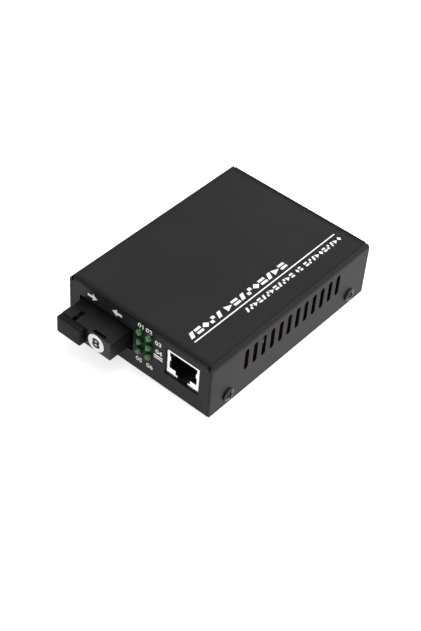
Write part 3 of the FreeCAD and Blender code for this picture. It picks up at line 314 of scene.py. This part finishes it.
def blackZinc():
    # black-plated screws, with painted shade in the cross recess
    material, tree, shader, position = startMaterial("blackZinc")
    lines = useGroup(tree, rollingStreaks, position,
                     Across=screwFinish["lines"], Along=screwFinish["lines"])
    across, along, height = axes(tree, position)
    low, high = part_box("cover_screws")
    head = (high[2] - low[2]) / 2
    sideways = together(tree, along, high[1] - head, "SUBTRACT")
    upward = together(tree, height, low[2] + head, "SUBTRACT")
    squares = together(tree, together(tree, sideways, 2.0, "POWER"),
                       together(tree, upward, 2.0, "POWER"), "ADD")
    away = together(tree, squares, 0.5, "POWER")
    reach, deep = screwFinish["reach"], screwFinish["deep"]
    # painted shade at the bottom of the cross recess
    recess = together(tree, fade(tree, away, screwFinish["beyond"] * reach, reach),
                      fade(tree, across, high[0] - deep / 2, high[0] - deep))
    body = blendTones(tree, lines.outputs["Streak"], screwFinish["dark"], screwFinish["light"])
    tree.links.new(blendTones(tree, recess, body, screwFinish["recess"]), shader.inputs["Base Color"])
    tree.links.new(remap(tree, lines.outputs["Streak"], *screwFinish["rough"]), shader.inputs["Roughness"])
    shader.inputs["Metallic"].default_value = 1.0
    raiseBumps(tree, shader, lines.outputs["Streak"], screwFinish["bumps"])
    return material


boardTracks = {"gap": 0.16, "length": 5.2, "row": 0.9,  # shares of the pitch
               "shift": 0.37, "blur": 0.1, "rough": (0.24, 0.34), "bumps": 0.03 * mm}


def solderMask(name, ground, track, pitch):
    # a coated board: tracks show as a slightly raised, lighter pattern under the mask
    material, tree, shader, position = startMaterial(name)
    tracks = addNode(tree, "ShaderNodeTexBrick", Scale=1.0, offset=boardTracks["shift"], squash=1.0, **{
        "Mortar Size": boardTracks["gap"] * pitch, "Brick Width": boardTracks["length"] * pitch,
        "Row Height": boardTracks["row"] * pitch, "Mortar Smooth": boardTracks["blur"]})
    tree.links.new(position, tracks.inputs["Vector"])
    tree.links.new(blendTones(tree, tracks.outputs["Fac"], ground, track), shader.inputs["Base Color"])
    tree.links.new(remap(tree, tracks.outputs["Fac"], *boardTracks["rough"]), shader.inputs["Roughness"])
    raiseBumps(tree, shader, tracks.outputs["Fac"], boardTracks["bumps"])
    return material


finishes = {
    "black_coat": powderCoat(),
    "black_screw": blackZinc(),
    "zinc_plate": plated("zincPlate", (176, 178, 184), (206, 208, 212), (0.22, 0.36),
                         across=900.0, along=900.0),
    "red_board": solderMask("redMask", (104, 14, 14), (138, 30, 26), 1.0 * mm),
    "green_board": solderMask("greenMask", (10, 70, 36), (22, 98, 52), 0.7 * mm),
    "bright_shell": plated("brightTin", (232, 233, 235), (248, 248, 249), (0.16, 0.3)),
    "tin_plate": plated("tinnedLead", (186, 187, 190), (214, 214, 216), (0.24, 0.36)),
    "gold_plate": plated("goldFlash", (205, 160, 76), (232, 190, 104), (0.2, 0.3)),
    "black_moulding": moulded("blackMoulding", 7, 10, (0.34, 0.44), shine=0.12),
    "module_plastic": moulded("modulePlastic", 14, 19, (0.34, 0.42), fine=3200.0, shine=0.2),
    "plug_rubber": plugRubber(),
    "green_lens": lampEpoxy(),
    "ceramic": moulded("whiteCeramic", (214, 210, 200), (232, 229, 220), (0.25, 0.4)),
    "label_paper": moulded("labelPaper", 240, 248, (0.45, 0.6), fine=6000.0, depth=0.004 * mm),
    "chip_black": moulded("chipMoulding", 24, 32, (0.5, 0.62), fine=5000.0, shine=0.3),
    "can_aluminium": plated("canAluminium", (188, 190, 194), (216, 217, 220), (0.26, 0.38),
                            across=1500.0, along=1500.0),
}
whiteInk = moulded("whiteInk", 236, 246, (0.4, 0.52), fine=5200.0, depth=0.006 * mm)
blackInk = moulded("blackInk", 8, 12, (0.4, 0.5), fine=5200.0, depth=0.004 * mm, shine=0.2)
for name, node in frame["nodes"].items():
    node.data.materials.clear()
    node.data.materials.append(finishes[nodeSlots[name]])
print("materials made")


# pieces: helpers that turn a bmesh into a riding piece

def settle(name, shape, body, material, sharp=35.0):
    mesh = bpy.data.meshes.new(name)
    bmesh.ops.recalc_face_normals(shape, faces=shape.faces)
    shape.to_mesh(mesh)
    shape.free()
    mesh.shade_smooth()
    mesh.set_sharp_from_angle(angle=math.radians(sharp))
    mesh.materials.append(material)
    piece = bpy.data.objects.new(name, mesh)
    scene.collection.objects.link(piece)
    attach(piece, body)
    return piece


def softenEdges(piece, width, segments, angle):
    bevel = piece.modifiers.new("edges", "BEVEL")
    bevel.width = width
    bevel.segments = segments
    bevel.limit_method = "ANGLE"
    bevel.angle_limit = math.radians(angle)
    bevel.harden_normals = True


def mergedCopy(node):
    # a copy of a solid's mesh with its flat faces whole again
    shape = bmesh.new()
    shape.from_mesh(frame["nodes"][node].data)
    bmesh.ops.remove_doubles(shape, verts=shape.verts, dist=weld)
    bmesh.ops.dissolve_limit(shape, angle_limit=math.radians(0.5), verts=shape.verts, edges=shape.edges)
    return shape


creaseAngle = 40.0  # corners sharper than this are broken
edges = {  # width of each piece's broken edges in millimetres, and their segments
    "top_cover": (0.16, 2), "base_tray": (0.14, 2), "transceiver_housing": (0.28, 3), "dust_plug": (0.3, 3),
    "rj45_shell": (0.07, 2), "rj45_body": (0.08, 1), "cover_screws": (0.08, 2), "board_screws": (0.08, 1),
    "dc_jack_housing": (0.15, 2), "controller_chip": (0.12, 2), "line_transformer": (0.25, 2),
    "input_capacitor": (0.35, 3), "output_capacitor": (0.3, 3), "clock_crystal": (0.3, 3),
    "power_inductor": (0.3, 2), "module_label": (0.03, 1),
}
inkDepth = 0.02 * mm
for name, (width, segments) in edges.items():
    shape = mergedCopy(name)
    if name == "top_cover":  # the ink that stands on the roof ends level with the solid's top
        for vert in shape.verts:
            vert.co.z = min(vert.co.z, cadHigh[2] - inkDepth)
    body = "plug" if name == "dust_plug" else "case"
    piece = settle(name + "_dressed", shape, body, finishes[nodeSlots[name]])
    softenEdges(piece, width * mm, segments, creaseAngle)
    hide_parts(name)
print("folded, moulded and turned pieces dressed")

notch = {"inset": 1.7 * mm, "line": 0.3 * mm, "radius": 0.62 * mm, "sides": 24,
         "deep": 0.45 * mm, "bottom": 2.0 * mm}
side, end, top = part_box("top_cover")[1]
fill = bmesh.new()  # coat that has pooled in the relief notches at the rear ends of the bends
for sense in (-1, 1):
    spot = Matrix.Translation((sense * (side - notch["inset"]), end - notch["line"],
                               top - (notch["deep"] + notch["bottom"]) / 2))
    bmesh.ops.create_cone(fill, cap_ends=True, segments=notch["sides"], radius1=notch["radius"],
                          radius2=notch["radius"], depth=notch["bottom"] - notch["deep"], matrix=spot)
cut = bmesh.ops.bisect_plane(fill, geom=fill.verts[:] + fill.edges[:] + fill.faces[:], dist=weld,
                             plane_co=(0, end - inkDepth, 0), plane_no=(0, 1, 0), clear_outer=True)
bmesh.ops.holes_fill(fill, edges=[item for item in cut["geom_cut"] if isinstance(item, bmesh.types.BMEdge)])
settle("notch_coat", fill, "case", finishes["black_coat"])


# print: flat ink on the roof and the front panel

class Sheet:
    # a flat place for ink: its corner, the reading direction and the direction of its tops
    def __init__(self, origin, along, upward):
        self.along, self.upward = Vector(along), Vector(upward)
        self.outward = self.along.cross(self.upward)
        self.turn = Matrix((self.along, self.upward, self.outward)).transposed().to_4x4()
        self.origin = Vector(origin)

    def matrix(self, across, level):
        spot = self.origin + self.along * across + self.upward * level
        return Matrix.Translation(spot) @ self.turn


roof = Sheet((0, 0, cadHigh[2] - inkDepth), (0, 1, 0), (-1, 0, 0))
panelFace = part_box("base_tray")[0][1]
panel = Sheet((0, panelFace, 0), (1, 0, 0), (0, 0, 1))


def plate(shape, sheet, outline):
    # one thin plate of ink from its corners on the sheet, in millimetres
    corners = [shape.verts.new(sheet.matrix(across * mm, level * mm).to_translation())
               for across, level in outline]
    face = shape.faces.new(corners)
    raised = bmesh.ops.extrude_face_region(shape, geom=[face])
    moved = [item for item in raised["geom"] if isinstance(item, bmesh.types.BMVert)]
    bmesh.ops.translate(shape, verts=moved, vec=sheet.outward * inkDepth)


def strip(left, bottom, right, top):
    return (left, bottom), (right, bottom), (right, top), (left, top)


marks = {  # plain shapes, each as outlines in a box of side one
    "twin": (strip(0, 0, 1, 0.38), strip(0, 0.62, 1, 1)),
    "tiles": (strip(0, 0, 0.48, 0.48), strip(0.52, 0.52, 1, 1)),
    "lozenge": (((0.5, 0), (1, 0.5), (0.5, 1), (0, 0.5)),),
    "wedge": (((0, 0), (1, 0.5), (0, 1)),),
    "slant": (((0, 0), (0.55, 0), (1, 1), (0.45, 1)),),
}
roofPrint = {  # places along and up the roof in millimetres; a word is its two ends and its shapes
    "title": {"bottom": -20.0, "height": 2.8, "gap": 0.5,
              "words": ((-40.7, -22.3, ("slant", "twin", "lozenge", "tiles", "slant")),
                        (-20.3, 14.7, ("wedge", "twin", "slant", "tiles", "lozenge",
                                       "twin", "slant", "wedge", "twin")))},
    "note": {"bottom": -25.6, "height": 2.1, "gap": 0.55,
             "words": ((-15.8, 12.4, ("slant", "tiles", "wedge", "twin") * 3),
                       (14.2, 17.4, ("lozenge", "twin")),
                       (19.5, 42.0, ("twin", "tiles", "slant", "wedge", "lozenge") * 2))},
    "rule": {"left": -41.0, "right": 42.0, "bottom": -21.85, "height": 0.5},
}


def printWords(shape, sheet, line):
    for start, end, names in line["words"]:
        pitch = (end - start + line["gap"]) / len(names)
        for number, name in enumerate(names):
            left, width = start + number * pitch, pitch - line["gap"]
            for outline in marks[name]:
                plate(shape, sheet, [(left + x * width, line["bottom"] + y * line["height"])
                                     for x, y in outline])


ink = bmesh.new()
for line in ("title", "note"):
    printWords(ink, roof, roofPrint[line])
rule = roofPrint["rule"]
plate(ink, roof, strip(rule["left"], rule["bottom"], rule["right"], rule["bottom"] + rule["height"]))
settle("roof_print", ink, "case", whiteInk)


capHeight = 0.7  # a numeral's height as a share of its font size


def numeral(name, text, sheet, across, level, height, material, stretch, weight):
    curve = bpy.data.curves.new(name, "FONT")
    curve.body = text
    curve.size = height * mm / capHeight
    curve.extrude = inkDepth / 2
    curve.offset = weight * mm
    curve.align_x = "CENTER"
    curve.align_y = "CENTER"
    curve.resolution_u = 4
    holder = bpy.data.objects.new(name + "_curve", curve)
    scene.collection.objects.link(holder)
    bpy.context.view_layer.update()
    mesh = bpy.data.meshes.new_from_object(holder)
    bpy.data.objects.remove(holder)
    mesh.transform(Matrix.Diagonal((stretch, 1, 1, 1)))
    middle = sum((vert.co for vert in mesh.vertices), Vector()) / len(mesh.vertices)
    mesh.transform(Matrix.Translation((-middle.x, -middle.y, inkDepth / 2)))
    mesh.transform(sheet.matrix(across * mm, level * mm))
    shape = bmesh.new()
    shape.from_mesh(mesh)
    bpy.data.meshes.remove(mesh)
    bmesh.ops.remove_doubles(shape, verts=shape.verts, dist=weld)
    settle(name, shape, "case", material)


lampNumbers = {"height": 2.0, "weight": 0.05, "stretch": 1.15,
               "places": (("1", 0.5, 24.1), ("2", 5.0, 24.1), ("3", 9.8, 20.8), ("4", 9.8, 16.6),
                          ("5", 0.5, 6.3), ("6", 6.0, 6.3))}
for text, across, level in lampNumbers["places"]:
    numeral(f"lamp_number_{text}", f"0{text}", panel, across, level, lampNumbers["height"], whiteInk,
            lampNumbers["stretch"], lampNumbers["weight"])

panelMarks = {"arrow": {"level": 22.3, "height": 3.4, "width": 5.0, "shaft": 0.34, "head": 0.5,
                        "places": ((-23.5, 1), (-11.0, -1))},
              "dashes": {"left": 7.7, "right": 12.0, "bottoms": (13.1, 14.2), "height": 0.6}}


def arrow(shape, sheet, middle, sense):
    # one arrow across the panel: a shaft and a triangular head
    size = panelMarks["arrow"]
    half, neck = size["width"] / 2, size["width"] * (0.5 - size["head"])
    wide, thick = size["height"] / 2, size["height"] * size["shaft"] / 2
    outline = ((-half, -thick), (neck, -thick), (neck, -wide), (half, 0),
               (neck, wide), (neck, thick), (-half, thick))
    plate(shape, sheet, [(middle + sense * across, size["level"] + level) for across, level in outline])


ink = bmesh.new()
for middle, sense in panelMarks["arrow"]["places"]:
    arrow(ink, panel, middle, sense)
settle("port_arrows", ink, "case", whiteInk)
ink = bmesh.new()
dashes = panelMarks["dashes"]
for bottom in dashes["bottoms"]:
    plate(ink, panel, strip(dashes["left"], bottom, dashes["right"], bottom + dashes["height"]))
settle("lamp_dashes", ink, "case", whiteInk)

sticker = {"number": "8", "height": 4.2, "weight": 0.24, "stretch": 1.25}
labelLow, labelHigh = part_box("module_label")
stickerFace = Sheet((0, labelLow[1], 0), (1, 0, 0), (0, 0, 1))
labelMiddle = (labelLow + labelHigh) / 2 / mm
numeral("sticker_number", sticker["number"], stickerFace, labelMiddle.x, labelMiddle.z,
        sticker["height"], blackInk, sticker["stretch"], sticker["weight"])
print("print laid on")


# lamps: a turned lens in place of each plain one

lampShape = {"count": 6, "radius": 1.5, "rim": 1.9, "rimLength": 1.0,
             "rings": 10, "sides": 40, "sharp": 50.0}


def turnedLens(node):
    low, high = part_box(node)
    middle = (low + high) / 2
    tip, end = low[1], high[1]
    radius = lampShape["radius"] * mm
    profile = [(0.0, tip)]
    for step in range(1, lampShape["rings"] + 1):
        turn = math.pi / 2 * step / lampShape["rings"]
        profile.append((radius * math.sin(turn), tip + radius * (1 - math.cos(turn))))
    rimStart = end - lampShape["rimLength"] * mm
    rim = lampShape["rim"] * mm
    profile += [(radius, rimStart), (rim, rimStart), (rim, end), (0.0, end)]
    shape = bmesh.new()
    verts = [shape.verts.new((middle.x + across, along, middle.z)) for across, along in profile]
    chain = [shape.edges.new(pair) for pair in zip(verts, verts[1:])]
    bmesh.ops.spin(shape, geom=verts + chain, cent=(middle.x, 0, middle.z), axis=(0, 1, 0),
                   angle=math.tau, steps=lampShape["sides"], use_merge=True)
    bmesh.ops.remove_doubles(shape, verts=shape.verts, dist=1e-6)
    piece = settle(node + "_lens", shape, "case", finishes["green_lens"], lampShape["sharp"])
    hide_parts(node)


for number in range(1, lampShape["count"] + 1):
    turnedLens(f"led_{number}")
print("lamps turned")


# camera at the viewing angle

view = {"azimuth": 37.545, "elevation": 44.223, "roll": 4.767, "distance": 0.53766,
        "acrossShift": -0.0033, "upShift": -0.00296, "lens": 77.58}
azimuth, elevation, roll = (math.radians(view[key]) for key in ("azimuth", "elevation", "roll"))
back = Vector((math.sin(azimuth) * math.cos(elevation), -math.cos(azimuth) * math.cos(elevation),
               math.sin(elevation)))
level = Vector((math.cos(azimuth), math.sin(azimuth), 0))
upright = back.cross(level)
right = level * math.cos(roll) + upright * math.sin(roll)
up = upright * math.cos(roll) - level * math.sin(roll)
cameraData = bpy.data.cameras.new("camera")
cameraData.lens = view["lens"]
camera = bpy.data.objects.new("camera", cameraData)
scene.collection.objects.link(camera)
turned = Matrix((right, up, back)).transposed().to_4x4()
spot = right * view["acrossShift"] + up * view["upShift"] + back * view["distance"]
camera.matrix_world = Matrix.Translation(spot) @ turned
scene.camera = camera


# studio: pale floor, even surroundings and soft lamps

studio = {"surround": 0.55,
          "floor": {"tone": 235, "rough": 0.9, "glow": 0.64, "size": 3.0, "drop": 0.05 * mm},
          "lamps": {"rearKey": {"place": (0.45, 0.75, 0.75), "size": 0.6, "power": 12.0},
                    "frontFill": {"place": (0.1, -0.9, 0.45), "size": 0.7, "power": 1.5},
                    "sideFill": {"place": (0.8, 0.45, 0.2), "size": 0.4, "power": 1.0},
                    "topSoft": {"place": (0.15, 0.1, 1.0), "size": 0.5, "power": 3.0}}}


def seenDirectly(tree):
    # 1 for rays from the eye, a mirror or a lens, so that they meet a plain white surround
    path = addNode(tree, "ShaderNodeLightPath")
    total = path.outputs["Is Camera Ray"]
    for name in ("Is Glossy Ray", "Is Transmission Ray"):
        step = addNode(tree, "ShaderNodeMath", operation="MAXIMUM")
        tree.links.new(total, step.inputs[0])
        tree.links.new(path.outputs[name], step.inputs[1])
        total = step.outputs[0]
    return total


world = bpy.data.worlds.new("studio")
scene.world = world
world.use_nodes = True
tree = world.node_tree
lit = tree.nodes["Background"]
lit.inputs["Color"].default_value = (1, 1, 1, 1)
lit.inputs["Strength"].default_value = studio["surround"]
white = addNode(tree, "ShaderNodeBackground", Color=(1, 1, 1, 1), Strength=1.0)
choose = addNode(tree, "ShaderNodeMixShader")
tree.links.new(seenDirectly(tree), choose.inputs[0])
tree.links.new(lit.outputs[0], choose.inputs[1])
tree.links.new(white.outputs[0], choose.inputs[2])
tree.links.new(choose.outputs[0], tree.nodes["World Output"].inputs[0])

ground = studio["floor"]
floorMaterial, tree, shader = startMaterial("paleFloor")[:3]
shader.inputs["Base Color"].default_value = linearTone(ground["tone"])
shader.inputs["Roughness"].default_value = ground["rough"]
shader.inputs["Emission Color"].default_value = (1, 1, 1, 1)
glow = addNode(tree, "ShaderNodeMath", operation="MULTIPLY")
tree.links.new(seenDirectly(tree), glow.inputs[0])
glow.inputs[1].default_value = ground["glow"]
tree.links.new(glow.outputs[0], shader.inputs["Emission Strength"])
shape = bmesh.new()
bmesh.ops.create_grid(shape, x_segments=1, y_segments=1, size=ground["size"])
floorMesh = bpy.data.meshes.new("floor")
shape.to_mesh(floorMesh)
shape.free()
floorMesh.materials.append(floorMaterial)
floor = bpy.data.objects.new("floor", floorMesh)
floor.location.z = -ground["drop"]
scene.collection.objects.link(floor)

for name, lamp in studio["lamps"].items():
    data = bpy.data.lights.new(name, "AREA")
    data.size = lamp["size"]
    data.energy = lamp["power"]
    item = bpy.data.objects.new(name, data)
    item.location = lamp["place"]
    item.rotation_euler = Vector(lamp["place"]).to_track_quat("Z", "Y").to_euler()
    scene.collection.objects.link(item)
print("studio set")
